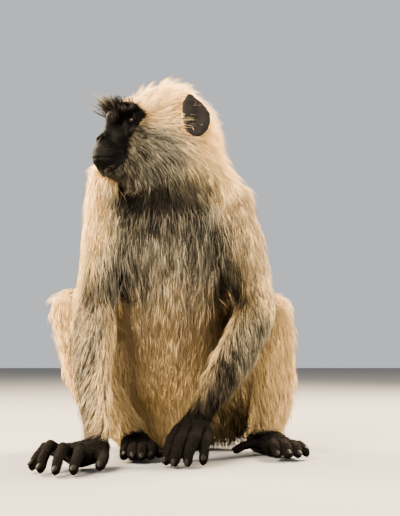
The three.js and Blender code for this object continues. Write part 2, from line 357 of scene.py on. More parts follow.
# %% The solids, one net over them all
def merged_copy(node):
    """A solid with the points that its faces share joined, so that it grows in one piece."""
    part = bmesh.new()
    part.from_mesh(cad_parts[node].data)
    bmesh.ops.remove_doubles(part, verts=part.verts, dist=1e-6)
    part.normal_update()
    return part


OVERLAP = 0.0007  # how far each solid grows, more than half their gap
BODY_NET, WHOLE_NET = 2.6, 2.2  # size of the nets' squares, in mm
joined = bmesh.new()
for node in BODY_NODES:
    part = merged_copy(node)
    for v in part.verts:
        v.co += v.normal * OVERLAP
    add_to(joined, part)
skin = new_object("skin", mesh_from(joined, "skin"))
remeshed(skin, BODY_NET)
done(f"body net of {len(skin.data.vertices)} points")

# %% Which solid each point belongs to
solid_points, solid_faces, face_node, points_so_far = [], [], [], 0
for index, node in enumerate(NODES):
    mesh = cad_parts[node].data
    triangles = triangles_of(mesh)
    solid_points.append(points_of(mesh))
    solid_faces.append(triangles + points_so_far)
    points_so_far += len(mesh.vertices)
    face_node += [index] * len(triangles)
solid_points, solid_faces = np.concatenate(solid_points), np.concatenate(solid_faces)
face_node = np.array(face_node)
NODE_ZONE = np.array([ZONE_NAMES.index(zone_of(n)) for n in NODES])


def tree_over(nodes):
    keep = np.isin(face_node, [NODES.index(n) for n in nodes])
    tree = BVHTree.FromPolygons(solid_points.tolist(), solid_faces[keep].tolist())
    return tree, face_node[keep]


def nearest_nodes(points, nodes):
    tree, owner = tree_over(nodes)
    hits = [tree.find_nearest(p)[2] for p in map(Vector, points)]
    return owner[np.array(hits)]


def zone_is(*names, at=None):
    """Which points lie in one of the zones: the skin's own, or those whose zones are given."""
    return np.isin(zone_at if at is None else at, [ZONE_NAMES.index(n) for n in names])


co = points_of(skin.data)
edges = edges_of(skin.data)
node_at = nearest_nodes(co, BODY_NODES)
zone_at = NODE_ZONE[node_at]
sink = averaged(ZONE_TABLE[zone_at, 0], edges, 60)
thick = zone_is("head", "neck", "chest", "belly")
soft = np.where(ZONE_TABLE[zone_at, 0] > 2, np.where(thick, 0.6, 0.3), 0.10)
co = averaged(co, edges, 40, averaged(soft, edges, 12))
set_points(skin.data, co)
co -= normals_of(skin.data) * sink[:, None] * MM
near = to_head(co)
FLAT_FRONT = 42  # mm: what the head's solid gives ends here, and blocks make the face
in_front = zone_is("head") & (near[:, 0] > FLAT_FRONT)
near[in_front] = near[in_front] * (0, 0.9, 0.9) + (FLAT_FRONT, 0, 0)
co[in_front] = from_head(near[in_front])
set_points(skin.data, co)
done("sunk below the coat")

# %% [markdown]
# ## Head
#
# The head's flesh is built afresh inside its coat, the way a sculptor blocks out a
# head: a skull, cheeks, a brow bar, cheekbones, a nose, a muzzle and a chin, each an
# ellipsoid in the head's own directions. Joining them to the body with one more even
# net gives a single skin, which is then smoothed, cut finer at the face and carved.

# %% Blocks of the head: middle and half sizes (forward, aside, up), in mm
HEAD_BLOCKS = {
    "skull":      ((-3, 0, 3), (54, 52, 58)),
    "nape":       ((-16, 0, -32), (43, 46, 48)),
    "cheeks":     ((22, 0, -32), (50, 47, 44)),
    "throat":     ((40, 0, -52), (40, 34, 30)),
    "forehead":   ((44, 0, 17), (32, 39, 19)),
    "brow_bar":   ((67, 0, 19), (21, 35, 9)),
    "eye_region": ((58, 0, 0), (15, 34, 28)),
    "bridge_top": ((84, 0, 9), (12.5, 11, 15)),
    "bridge":     ((86, 0, -4), (12, 8.5, 13)),
    "nose":       ((92, 0, -16), (12, 8.5, 9)),
    "nose_tip":   ((100, 0, -22), (11, 10, 8)),
    "mid_face":   ((70, 0, -20), (24, 21, 20)),
    "muzzle":     ((86, 0, -46), (28.5, 22, 26)),
    "upper_lip":  ((95, 0, -38), (19, 17, 14)),
    "jaw":        ((70, 0, -57), (30, 27, 17)),
    "chin":       ((91, 0, -61), (16, 15, 11)),
}
CHEEKBONES = {
    "cheekbone":  ((56, 26, -12), (17, 10, 11)),
    "temple":     ((44, 33, 12), (20, 9, 14)),
    "nose_wing":  ((101, 8, -20), (8, 4.2, 5.5)),
    "orbit_rim":  ((63, 33, 6), (8, 5, 12)),
    "ear_root":   ((-2, 60, 0), (12, 13, 17)),
}
EYE_CENTRE = np.array((59.0, 19.0, 4.5))
EYE_RADIUS = 10.0
EAR_MIDDLE, EAR_HALF = (-11, 72, 10), (21, 4.2, 32)
EAR_LEAN, EAR_SPREAD = 0.33, 0.20  # forward with height, outward towards the back
FLANKS = {  # in the frame's own directions: the loose skin between the arms and the trunk
    "flank_right": ((-80, -14, 205), (13, 26, 75)),
    "flank_left":  ((74, -12, 208), (12, 26, 75)),
}


def ellipsoid(middle, half, detail=4):
    part = bmesh.new()
    bmesh.ops.create_icosphere(part, subdivisions=detail, radius=1.0)
    bmesh.ops.scale(part, verts=part.verts, vec=half)
    bmesh.ops.translate(part, verts=part.verts, vec=middle)
    return part


def place_block(target, part, place=from_head):
    """Turns a block from its own directions into the frame and adds it to a bmesh."""
    for v, where in zip(part.verts, place(np.array([v.co[:] for v in part.verts]))):
        v.co = where
    bmesh.ops.recalc_face_normals(part, faces=part.faces)
    add_to(target, part)


def ear_block(side):
    """An upright leaf: pointed and leaning forward at the top, set off the head behind."""
    part = ellipsoid((0, 0, 0), EAR_HALF)
    for v in part.verts:
        forward, aside, up = v.co
        point = ramp(up, 8, 34)
        forward = forward * (1 - 0.35 * point) + EAR_LEAN * max(up, 0)
        aside -= EAR_SPREAD * forward - 0.004 * forward ** 2
        v.co = (forward, aside, up)
    bmesh.ops.translate(part, verts=part.verts, vec=EAR_MIDDLE)
    bmesh.ops.scale(part, verts=part.verts, vec=(1, side, 1))
    return part


whole = bmesh.new()
whole.from_mesh(skin.data)
for middle, half in HEAD_BLOCKS.values():
    place_block(whole, ellipsoid(middle, half))
for side in (-1, 1):
    for middle, half in CHEEKBONES.values():
        place_block(whole, ellipsoid((middle[0], side * middle[1], middle[2]), half, 3))
    place_block(whole, ellipsoid(EYE_CENTRE * (1, side, 1), (EYE_RADIUS,) * 3, 3))
    place_block(whole, ear_block(side))
for middle, half in FLANKS.values():
    place_block(whole, ellipsoid(middle, half), lambda points: points * MM)
whole.to_mesh(skin.data)
whole.free()
remeshed(skin, WHOLE_NET)
done(f"whole net of {len(skin.data.vertices)} points")

# %% Smooth the joins between the blocks, less where the form is fine
co, edges = points_of(skin.data), edges_of(skin.data)
near = to_head(co)
forward, aside, up = near.T
from_middle = np.linalg.norm(near - (10, 0, -10), axis=1)
head_share = 1 - ramp(from_middle, 110, 140)
at_ear = bell(forward + 8, 34) * ramp(np.abs(aside), 60, 66) * bell(up - 10, 48)
face_share = ramp(forward, 48, 66) * head_share
soft = 0.10 + 0.45 * head_share * (1 - face_share) * (1 - at_ear) + 0.25 * face_share
set_points(skin.data, averaged(co, edges, 14, averaged(soft, edges, 4)))
done("joins smoothed")

# %% Thin the net under the coat, keep it fine on the face, hands, feet and ears
KEPT_SHARE = 0.20
co = points_of(skin.data)
zone_at = NODE_ZONE[nearest_nodes(co, NODES)]
forward, aside, up = to_head(co).T
fine = zone_is("face", "ear", "hand", "finger", "foot", "toe")
fine |= (forward > 44) & (np.abs(up) < 95) & (np.abs(aside) < 50)
group = skin.vertex_groups.new(name="coarse")
group.add(np.flatnonzero(~fine).tolist(), 1.0, "REPLACE")
with_modifier(skin, "DECIMATE", ratio=KEPT_SHARE, vertex_group="coarse")
skin.vertex_groups.clear()
done(f"thinned to {len(skin.data.vertices)} points")


# %% Cut the face finer, and its features finer still
def cut_finer(piece, wanted):
    """Halves every edge whose two ends are wanted (a test on the points)."""
    part = bmesh.new()
    part.from_mesh(piece.data)
    keep = wanted(points_of(piece.data))
    cuts = [e for e in part.edges if keep[e.verts[0].index] and keep[e.verts[1].index]]
    bmesh.ops.subdivide_edges(part, edges=cuts, cuts=1, use_grid_fill=True, smooth=0.6)
    bmesh.ops.triangulate(part, faces=[f for f in part.faces if len(f.verts) > 3])
    part.to_mesh(piece.data)
    part.free()


def on_face(points):
    forward, aside, up = to_head(points).T
    return (forward > 54) & (np.abs(aside) < 42) & (up > -82) & (up < 32)


def on_features(points):
    forward, aside, up = to_head(points).T
    eye = np.linalg.norm(np.column_stack([forward, np.abs(aside), up]) - EYE_CENTRE, axis=1) < 16.5
    nose = (forward > 94) & (up > -34) & (up < -4)
    lips = (forward > 84) & (np.abs(up + 51) < 4)
    return eye | nose | lips


def on_digits(points):
    low = np.flatnonzero(points[:, 2] < 0.085)
    wanted = np.zeros(len(points), bool)
    wanted[low] = zone_is("finger", "toe", at=NODE_ZONE[nearest_nodes(points[low], NODES)])
    return wanted


for wanted in (on_face, on_features, on_digits):
    cut_finer(skin, wanted)
done(f"face and digits cut finer, {len(skin.data.polygons)} faces")

# %% [markdown]
# Now the carving. Each feature is a soft stamp: how far a point is from a line or a
# centre sets how far it moves. The eyes come last: around each one the skin is drawn
# on to a sphere just outside the eyeball, except in the almond between the lids.

# %% Carve the nose, mouth, cheeks and ears
def distance_to_line(points, line):
    """Distance from each point to a chain of places."""
    best = np.full(len(points), np.inf)
    line = np.asarray(line, float)
    for start, end in zip(line[:-1], line[1:]):
        span = end - start
        t = np.clip((points - start) @ span / (span @ span), 0, 1)
        best = np.minimum(best, np.linalg.norm(points - start - t[:, None] * span, axis=1))
    return best


#            line on the left half (forward, aside, up)         rise (or sinking), half width
FACE_LINES = {
    "nostril":      ([(110, 3.5, -23), (107, 7.5, -19.5), (102, 10, -14.5)], -3.4, 1.7),
    "nose_crease":  ([(106, 12.5, -25), (98, 14, -19), (92, 12, -12)], -1.2, 2.2),
    "mouth":        ([(114, 0, -50), (108, 13, -50.5), (92, 22, -51), (82, 24, -53)], -0.55, 1.3),
    "cheek_fold":   ([(92, 16, -24), (84, 23, -36), (78, 25, -50)], -1.3, 3.0),
    "philtrum":     ([(112, 0, -27), (114, 0, -44)], -0.7, 1.6),
    "chin_fold":    ([(110, 0, -58), (102, 12, -59), (92, 18, -61)], -0.6, 3.0),
    "under_eye_1":  ([(68, 10, -7.5), (69, 18, -9.5), (64, 27, -7)], -0.7, 0.9),
    "under_eye_2":  ([(70, 9, -11.5), (71, 18, -13.5), (65, 27, -11)], -0.6, 0.9),
    "under_eye_3":  ([(72, 10, -15.5), (72, 18, -17.5), (66, 27, -15)], -0.5, 0.9),
    "nose_root":    ([(83, 0, 8), (80, 6, 7)], -0.8, 1.4),
    "nostril_wing": ([(111, 5, -28), (109, 11, -23), (101, 13, -15)], 1.5, 2.2),
    "lower_lip":    ([(113, 0, -54), (106, 13, -54.5), (92, 20, -55)], 0.3, 2.4),
    "upper_lip":    ([(115, 0, -46.5), (108, 14, -47), (92, 22, -47.5)], 0.2, 2.4),
    "brow":         ([(80, 4, 19), (77, 18, 20), (68, 30, 17)], 2.0, 5.0),
}
co = points_of(skin.data)
near = to_head(co)
mirrored = near * np.where(near[:, 1] < 0, -1, 1)[:, None] ** np.array((0, 1, 0))
push = np.zeros(len(co))
for line, rise, width in FACE_LINES.values():
    push += rise * bell(distance_to_line(mirrored, line), width)
HOLLOW, HOLLOW_DEPTH, HOLLOW_WIDTH = [(-13, 76, 26), (-15, 76, 10), (-7, 76, -6)], 3.2, 9  # of the ear
outward = (normals_of(skin.data) @ ASIDE) * np.sign(near[:, 1])
hollow = HOLLOW_DEPTH * bell(distance_to_line(mirrored, HOLLOW), HOLLOW_WIDTH)
push -= hollow * ramp(outward, 0.1, 0.5) * (mirrored[:, 1] > 64)
set_points(skin.data, co + normals_of(skin.data) * push[:, None] * MM)

# %% Part the fingers and toes, and raise their knuckles
DIGITS = (("thumb", "index_finger", "middle_finger", "ring_finger", "little_finger"),
          ("hallux_toe", "second_toe", "third_toe", "fourth_toe", "fifth_toe"))
FAR = 20  # mm, stands for any greater distance
KNUCKLE_RISE, KNUCKLE_WIDTH = 1.1, 5.5  # mm
CLEFT_DEPTH, CLEFT_WIDTH, CLEFT_REACH = 3.6, 1.9, 7  # mm, the last from the nearest digit
co = points_of(skin.data)
low = np.flatnonzero(co[:, 2] < 0.11)
push = np.zeros(len(co))
for digits in DIGITS:
    for side in ("left", "right"):
        names = [f"{d}_{side}" for d in digits if f"{d}_{side}" in NODES]
        away = []
        for name in names:
            tree, _ = tree_over([name])
            found = [tree.find_nearest(p, FAR * MM) for p in map(Vector, co[low])]
            away.append([FAR if f[0] is None else f[3] / MM for f in found])
            solid = points_of(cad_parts[name].data)
            knuckle = solid[np.argmax(solid[:, 2])]
            off_knuckle = np.linalg.norm(co[low] - knuckle, axis=1) / MM
            push[low] += KNUCKLE_RISE * bell(off_knuckle, KNUCKLE_WIDTH)
        first, second = np.sort(np.array(away), 0)[:2]
        push[low] -= CLEFT_DEPTH * bell(second - first, CLEFT_WIDTH) * (first < CLEFT_REACH)
set_points(skin.data, co + normals_of(skin.data) * push[:, None] * MM)
done("fingers and toes parted")

# %% Lids: open almonds over the eyeballs
LID = 1.15  # thickness of a lid over the eyeball
OPEN = 40  # half the width of the opening, in degrees about the eye
OPEN_UP, OPEN_DOWN = 17, 15
GAZE_ASIDE = 14  # the eyes look a little outward


def eye_angles(points, side):
    """Distance from the eye's centre, and the angles aside and up from its gaze."""
    away = (points - EYE_CENTRE * (1, side, 1)) * (1, side, 1)
    turn = math.radians(GAZE_ASIDE)
    forward = away[:, 0] * math.cos(turn) + away[:, 1] * math.sin(turn)
    aside = away[:, 1] * math.cos(turn) - away[:, 0] * math.sin(turn)
    length = np.linalg.norm(away, axis=1)
    return length, np.degrees(np.arctan2(aside, forward)), np.degrees(np.arcsin(away[:, 2] / length))


def lid_gap(aside, up):
    """How far inside the almond a direction is, in degrees; below 0 is on the lids."""
    across = np.clip(1 - (aside / OPEN) ** 2, 0, 1) ** 0.75
    over = up - 3 * aside / OPEN  # the almond's outer corner is higher
    inside = np.where(over > 0, OPEN_UP * across - over, OPEN_DOWN * across + over)
    return np.where(np.abs(aside) < OPEN, inside, -(np.abs(aside) - OPEN) * 0.7 - np.abs(over))


co = points_of(skin.data)
near = to_head(co)
for side in (-1, 1):
    length, aside, up = eye_angles(near, side)
    gap = lid_gap(aside, up)
    off_gaze = np.hypot(aside, up * 1.15)
    held = (1 - ramp(off_gaze + 12 * (up > 0), 44, 62)) * (1 - ramp(length, 14, 17))
    lip = bell(gap + 3.0, 3.5) * 0.5  # the rim of the lid is thickest
    crease = bell(gap + 15, 3.0) * 0.8 * (up > 0) + bell(gap + 13, 2.6) * 0.6 * (up < 0)
    goal = EYE_RADIUS + LID + lip - crease
    goal = goal + (EYE_RADIUS - 1.6 - goal) * ramp(gap, -0.6, 1.6)
    centre = EYE_CENTRE * (1, side, 1)
    drawn = centre + (near - centre) * (goal / length)[:, None]
    near += held[:, None] * (drawn - near)
co = from_head(near)
co[:, 2] = np.maximum(co[:, 2], 0)
set_points(skin.data, co)
done("head carved")

# %% [markdown]
# ## The lie of the coat
#
# Before any hair grows, every point of the skin is told four things: how long and how
# deep the hair is there, which way it lies, whether the skin is bare, and how the coat
# is marked, with painted shade at the collar, the left elbow and between the legs and the
# belly, and painted light low on the belly. Directions come from the solids (along a limb
# towards its end, down the trunk, back over the head) and are averaged over the net so
# that they turn smoothly.

# %% Directions of the hair
CENTRES = {n: points_of(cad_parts[n].data).mean(0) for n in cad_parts}


def end_near(node, other):
    """The middle of the tenth of a solid that lies nearest another solid."""
    points = points_of(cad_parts[node].data)
    away = np.linalg.norm(points - CENTRES[other], axis=1)
    return points[away <= np.quantile(away, 0.1)].mean(0)


NEXT = {"upper_arm": "forearm", "forearm": "hand", "thigh": "shin", "shin": "foot"}
TAIL = ["tail_base", "tail_length_2", "tail_length_3", "tail_length_4", "tail_length_5", "tail_tip"]


def comb_of(node):
    """Which way the hair on a solid lies: along a limb, digit or tail, and down elsewhere."""
    zone = zone_of(node)
    side = node.rsplit("_", 1)[-1]
    if zone == "thigh":
        along = end_near(node, f"shin_{side}") - CENTRES[node]
        return along / np.linalg.norm(along) * 0.5 + np.array((0, 0.1, -0.9))
    if zone in NEXT:
        return end_near(node, f"{NEXT[zone]}_{side}") - CENTRES[node]
    if zone in ("finger", "toe"):
        root = ("hand_" if zone == "finger" else "foot_") + side
        return CENTRES[node] - end_near(node, root)
    if zone in ("hand", "foot"):
        return CENTRES[("middle_finger_" if zone == "hand" else "third_toe_") + side] - CENTRES[node]
    if node in TAIL[:-1]:
        return end_near(node, TAIL[TAIL.index(node) + 1]) - CENTRES[node]
    if node == TAIL[-1]:
        return CENTRES[node] - end_near(node, TAIL[-2])
    return np.array((0.0, 0.0, -1.0))


def unit(vectors):
    return vectors / np.maximum(np.linalg.norm(vectors, axis=-1, keepdims=True), 1e-9)


COMBS = unit(np.array([comb_of(n) for n in NODES]))
co, edges, normal = points_of(skin.data), edges_of(skin.data), normals_of(skin.data)
node_at = nearest_nodes(co, NODES)
zone_at = NODE_ZONE[node_at]
place = co / MM
forward, aside, up = to_head(co).T

comb = COMBS[node_at]
outward = np.sign(place[:, 0])
trunk = zone_is("neck", "chest", "belly")
spread = np.interp(place[:, 2], [150, 200, 300, 345, 400], [0, -1 / 260, -1 / 260, 1 / 320, 1 / 200])
comb[:, 0] += place[:, 0] * spread * trunk
across_arm = np.outer(outward, (0.5, 0, 0)) + (0, -0.1, -0.75)
comb[zone_is("forearm")] = (0.35 * comb + across_arm)[zone_is("forearm")]
inward = 0.45 * ramp(place[:, 0], -125, -90) * (outward < 0) + 0.12 * (outward > 0)
comb[:, 0] += inward * zone_is("upper_arm")
comb[trunk, 1] += np.where(normal[trunk, 1] > 0, 0.25, -0.05)
NAPE_DROP, BROW_LIFT = math.radians(62), math.radians(28)
down = np.radians(np.interp(up, [-80, -50, -20, 10, 40, 80], [88, 62, 30, 4, -14, -8]))
down += NAPE_DROP * ramp(-forward, 30, 80) * ramp(up, -30, 10)
down -= BROW_LIFT * ramp(forward, 20, 60) * ramp(up, 12, 32)
head_comb = np.outer(-np.cos(down), FORWARD) - np.outer(np.sin(down), UP)
head_comb += np.outer(0.30 * np.sign(aside) * ramp(np.abs(aside), 5, 45), ASIDE)
on_head = zone_is("head", "face", "ear")
comb[on_head] = unit(head_comb[on_head])
comb = averaged(comb, edges, 40)
comb = unit(comb - (comb * normal).sum(1)[:, None] * normal)

# %% Bare skin and the depth of the coat
FACE_EDGE = ([-80, -70, -63, -45, -17, 0, 10, 20, 26], [110, 96, 89, 74.6, 72.6, 64, 54, 62, 80])
edge_of_face = np.interp(up, *FACE_EDGE)
bare_face = ramp(forward - edge_of_face, -5, 1) * (up > -82) * (up < 30) * on_head
lean = forward + 11 - EAR_LEAN * np.maximum(up - 10, 0)
at_ear = ((lean / 25) ** 2 + ((up - 10) / 37) ** 2 < 1) & (np.abs(aside) > 55.5)
bare = np.maximum(bare_face, at_ear)
by_ear = bell(forward - 3, 30) * bell(up - 6, 34) * ramp(np.abs(aside), 47, 53)
by_ear = ramp(by_ear, 0.35, 0.55) * on_head  # where long hair would cross the ear
black_ends = zone_is("hand", "finger", "foot", "toe")
palm = black_ends & (normal[:, 2] < -0.35)
bare = averaged(np.maximum(bare, palm), edges, 3)

shape = averaged(ZONE_TABLE[zone_at], edges, 14)
hair_length, hair_height, hair_width = shape[:, 1], shape[:, 2], shape[:, 3]
behind_face = edge_of_face - forward  # mm behind the bare face's edge
crown = on_head & (up > 20)
cheek = on_head & ~crown
hair_length[crown] = np.interp(behind_face[crown], [0, 30, 90], [15, 20, 28])
hair_height[crown] = np.interp(behind_face[crown], [0, 10, 30, 85, 125], [4, 7, 9.5, 9.5, 5])
hair_length[cheek] = np.interp(behind_face[cheek], [0, 25, 60, 100], [10, 23, 34, 38])
hair_length[cheek] *= np.interp(up[cheek], [-80, -50], [0.65, 1.0])
hair_height[cheek] = np.interp(behind_face[cheek], [0, 25, 60, 100], [2, 7, 11, 13])
near_face = np.interp(behind_face, [0, 40], [0.7, 1.0])
hair_width[on_head] = 0.80 * near_face[on_head]
hair_length, hair_height, hair_width = averaged(
    np.column_stack([hair_length, hair_height, hair_width]), edges, 8).T
hair_length *= 1 - 0.72 * by_ear
hair_height *= 1 - 0.86 * by_ear
print("hair from", hair_length.min().round(1), "to", hair_length.max().round(1), "mm long")


# %% Markings, with painted shade and painted light
shown = place + comb * hair_length[:, None] * 0.6  # where the hair rooted here is seen


def spot(middle, half):
    """1 at a place in mm, fading to 0 about a half size away in each direction."""
    return np.exp(-(((shown - middle) / half) ** 2).sum(1))


facing = ramp(-normal[:, 1], -0.15, 0.45)
x, y, z = shown.T
left_edge = np.interp(z, [200, 240, 300, 360], [104, 94, 78, 48])  # of the grey front
right_edge = np.interp(z, [200, 300, 330, 360], [-116, -78, -82, -94])
inner = 1 - ramp(x, left_edge - 10, left_edge + 16)
inner *= ramp(x, right_edge - 14, right_edge + 10)
behind = ramp(normal[:, 1], 0.0, 0.6) * zone_is("chest", "neck", "belly")
front_high = facing * inner * ramp(z, 196, 226) * (1 - ramp(z, 392, 420))
medial = np.where(x > 0, ramp(-normal[:, 0], 0.62, 0.95), ramp(normal[:, 0], 0.45, 0.85))
grey = np.full(len(co), 0.05)
grey = np.where(zone_is("upper_arm"), 0.34 * (x > 0), grey)
grey = np.maximum(grey, 0.95 * front_high * zone_is("chest", "neck", "belly", "upper_arm"))
fore_grey = 0.58 + 0.10 * (x > 0) + 0.3 * ramp(z, 150, 215) * facing
grey = np.where(zone_is("forearm"), fore_grey * (1 - 0.95 * medial), grey)
grey = np.maximum(grey, 0.70 * behind * (1 - ramp(z, 300, 430)))
grey = np.where(zone_is("tail"), 0.55, grey)
grey = np.where(zone_is("shin", "thigh"), 0.03, grey)
grey = np.where(black_ends, 1.0, grey)
fade = np.interp(up, [-80, -40, 0], [84, 52, 26])
cheek_grey = (1 - ramp(behind_face, fade, fade + 42)) * (1 - ramp(up, -14, 12))
grey = np.where(on_head, 0.04 + 0.86 * cheek_grey, grey)
grey += 0.7 * spot((-103, -100, 230), (23, 50, 36))
grey -= 0.6 * spot((-12, -90, 230), (15, 60, 32))  # pale middle of the lower chest

# Dark patches of the coat, and painted shade on the collar under the ruff and at the left elbow.
DARK_PATCHES_AND_SHADE = [  # how dark, where, how large
    (0.30, (-14, -95, 306), (44, 70, 44)),  # chest
    (0.25, (40, -90, 296), (26, 60, 40)),
    # Painted shade on the collar under the ruff and between the cheek and the shoulder.
    (2.5, (-26, -88, 348), (50, 70, 21)),  # the collar under the ruff
    (2.0, (24, -72, 376), (30, 60, 28)),
    (0.75, (-50, -80, 249), (17, 60, 26)),  # either side of the pale middle
    (0.65, (21, -80, 244), (18, 60, 28)),
    # Painted shade in the crook of the left elbow and below it.
    (2.4, (92, -78, 212), (18, 50, 29)),  # left elbow and what it shades
    (1.6, (66, -80, 194), (24, 50, 16)),
    (1.3, (-103, -105, 217), (21, 50, 34)),  # right elbow
    # Painted shade in the crook of the left elbow.
    (1.1, (84, -85, 256), (19, 50, 34)),  # over the left elbow
    (0.8, (-82, -100, 150), (8, 50, 46)),  # down the right forearm
]
dark = facing * sum(amount * spot(*where) for amount, *where in DARK_PATCHES_AND_SHADE)
# Painted shade under the left thigh, and on the inner side of the right leg where it meets the belly.
under = spot((76, -20, 50), (27, 70, 60)) * zone_is("thigh", "belly", "shin") * (normal[:, 0] < 0.8)
# Painted shade in the pit between the left elbow and the flank.
dark += 1.6 * spot((71, -50, 192), (17, 60, 24)) * (normal[:, 0] < 0.8)  # between elbow and flank
dark += 4.0 * under + 0.6 * spot((-70, -60, 60), (22, 60, 60)) * (normal[:, 0] > 0)
for side, reach in (("left", 112), ("right", 16)):
    wrist = end_near(f"forearm_{side}", f"hand_{side}") / MM
    from_wrist = np.linalg.norm(shown - wrist, axis=1)
    near_wrist = 1 - ramp(from_wrist, 4 + 0.3 * reach, reach)
    near_wrist *= 1 - 0.8 * medial * ramp(from_wrist, 20, 70)
    dark = np.where(zone_is("forearm", "hand"), np.maximum(dark, near_wrist), dark)
    ankle = end_near(f"shin_{side}", f"foot_{side}") / MM
    near_ankle = 1 - ramp(np.linalg.norm(shown - ankle, axis=1), 8, 20)
    dark = np.where(zone_is("shin"), np.maximum(dark, 0.5 * near_ankle), dark)
dark = np.where(black_ends, 0.98, dark)
face_dark = 1 - ramp(behind_face, -1, 8 + 5 * (up < 15))
cheek_dark = 0.6 * (1 - ramp(behind_face, 8, 46)) * (1 - ramp(up, -18, 10))
# Below the chin, the painted shade of the collar carries on to the head.
head_dark = np.maximum(np.maximum(face_dark, cheek_dark), dark * ramp(-up, 42, 60))
dark = np.where(on_head, head_dark, dark)

tan = 0.95 * facing * zone_is("belly", "chest") * (1 - ramp(z, 205, 280))
# Less tan low on the belly: the lower belly is painted paler, as painted light.
tan *= np.interp(z, [60, 110, 160, 200, 240], [0.15, 0.6, 1.0, 0.85, 0.75])
tan = np.maximum(tan, 0.30 * zone_is("forearm") + 0.22 * zone_is("thigh"))
tan = np.maximum(tan, 0.45 * zone_is("upper_arm") * (x > 0) * (1 - ramp(x, 108, 128)))
tan = np.maximum(tan, 0.5 * behind * (1 - ramp(z, 300, 430)))
marks = averaged(np.clip(np.column_stack([grey, dark, tan]), 0, 1), edges, 6)
grey, dark, tan = marks.T
ear = averaged(at_ear * 1.0, edges, 3)
rim_of_face = on_head * (1 - ramp(behind_face, 4, 13)) * (up < 30)
black = np.maximum(bare, averaged(rim_of_face, edges, 3))


def add_attribute(mesh, name, values):
    attribute = mesh.attributes.new(name, "FLOAT", "POINT")
    attribute.data.foreach_set("value", np.asarray(values, np.float32))


for name, values in (("grey", grey), ("dark", dark), ("tan", tan), ("bare", black), ("ear", ear)):
    add_attribute(skin.data, name, values)
done("directions, depths and markings")

# %% [markdown]
# The skin gets an unwrap of its own shape. The locks borrow it later: each carries a
# tiny patch at its root's place there, so that a colour baked for the skin and one
# baked for the hair over it lie at the same spot.

# %% Unwrap the skin
bpy.context.view_layer.objects.active = skin
skin.select_set(True)
bpy.ops.object.mode_set(mode="EDIT")
bpy.ops.mesh.select_all(action="SELECT")
bpy.ops.uv.smart_project(angle_limit=math.radians(60), island_margin=0.002)
bpy.ops.object.mode_set(mode="OBJECT")
skin.select_set(False)
smooth_shaded(skin.data)
TRIANGLES = triangles_of(skin.data)
uv = read(skin.data.uv_layers.active.data, "uv", 2)
TRIANGLE_UV = uv[triangles_of(skin.data, "loops")] * 0.98 + 0.01  # clear of the border
skin_tree = BVHTree.FromPolygons(co.tolist(), TRIANGLES.tolist())
done(f"skin unwrapped, {len(TRIANGLES)} triangles")

# %% [markdown]
# ## The coat
#
# A real coat has far too many hairs to model one by one, but hairs lie in locks: a few
# dozen stick together and end in one point. Each lock here is a thin three-sided spike
# that leaves the skin, bends over and lies along the body. Neighbours lean towards a
# shared point, which gives the streaks and pointed ends of a real coat. Thousands of
# them are made at once, by array arithmetic, and joined into a few meshes.

# %% Locks of hair
FIELDS = {"normal": normal, "comb": comb, "length": hair_length, "height": hair_height,
          "width": hair_width, "grey": grey, "dark": dark, "tan": tan}
RING_WIDTHS = {2: (1.0, 0.8), 3: (1.0, 0.95, 0.62)}  # of a lock's width, from the root on
FLATNESS = 0.6  # of a lock's thickness to its width
STRETCH = 0.7  # how much longer than wide a clump is
PATCH = 0.003  # size of a lock's patch of the unwrap
LOWEST = 1.2  # mm that a lock keeps over the floor


def sow(weight, count):
    """Roots spread over the skin: places, fields and unwrap there."""
    corners = co[TRIANGLES]
    area = np.linalg.norm(np.cross(corners[:, 1] - corners[:, 0], corners[:, 2] - corners[:, 0]), axis=1)
    share = np.cumsum(area * weight[TRIANGLES].mean(1))
    pick = (np.arange(count) + rng.random(count)) / count * share[-1]
    triangle = np.minimum(np.searchsorted(share, pick), len(share) - 1)
    a, b = rng.random((2, count))
    flip = a + b > 1
    a[flip], b[flip] = 1 - a[flip], 1 - b[flip]
    part = np.column_stack([1 - a - b, a, b])

    def blended(values):
        """Values at three corners, mixed by how near each one is."""
        return (values * part.reshape(part.shape + (1,) * (values.ndim - 2))).sum(1)

    found = {name: blended(values[TRIANGLES[triangle]]) for name, values in FIELDS.items()}
    found["place"], found["uv"] = blended(corners[triangle]), blended(TRIANGLE_UV[triangle])
    found["normal"], found["comb"] = unit(found["normal"]), unit(found["comb"])
    return found


def clumps(found, spacing):
    """Long, narrow clumps: the sideways way from each tip to its clump's line, in metres,
    and a number from 0 to 1 that a whole clump has in common."""
    count = len(found["place"])
    main = unit(found["comb"].mean(0))
    flat = found["place"] - STRETCH * np.outer(found["place"] @ main, main)
    keep = rng.choice(count, max(8, count // spacing), replace=False)
    tree = KDTree(len(keep))
    for i, k in enumerate(keep):
        tree.insert(flat[k], i)
    tree.balance()
    clump = np.array([tree.find(p)[1] for p in flat])
    reach = found["place"] + found["comb"] * found["length"][:, None] * MM
    pull = reach[keep[clump]] - reach
    pull -= 0.9 * found["comb"] * (pull * found["comb"]).sum(1)[:, None]
    return pull, rng.random(len(keep))[clump]


def gathered(found, spacing, share, patchy):
    """Draws the locks together in small clumps within large ones.

    Gives the pull on each tip, how far out in its clump each lock is, how light or dark
    it is (at random, and darker at a clump's edge as painted shade), and whether its
    clump is one of the few that stand away from the rest.
    """
    small, small_tone = clumps(found, spacing)
    large, large_tone = clumps(found, spacing * 9)
    out = np.linalg.norm(small, axis=1)
    out = np.clip(out / (np.quantile(out, 0.9) + 1e-9), 0, 1)
    # Locks far out in their clump are made darker: painted shade between the clumps.
    tone = patchy * (0.33 * small_tone + 0.22 * large_tone - 0.25 * (out - 0.45))
    tone += (1 - 0.55 * patchy) * rng.random(len(out))
    pull = small * share + large * share * 0.22
    return pull, out, np.clip(0.5 + (1.1 + 1.2 * patchy) * (tone - 0.48), 0, 1), small_tone > 0.9


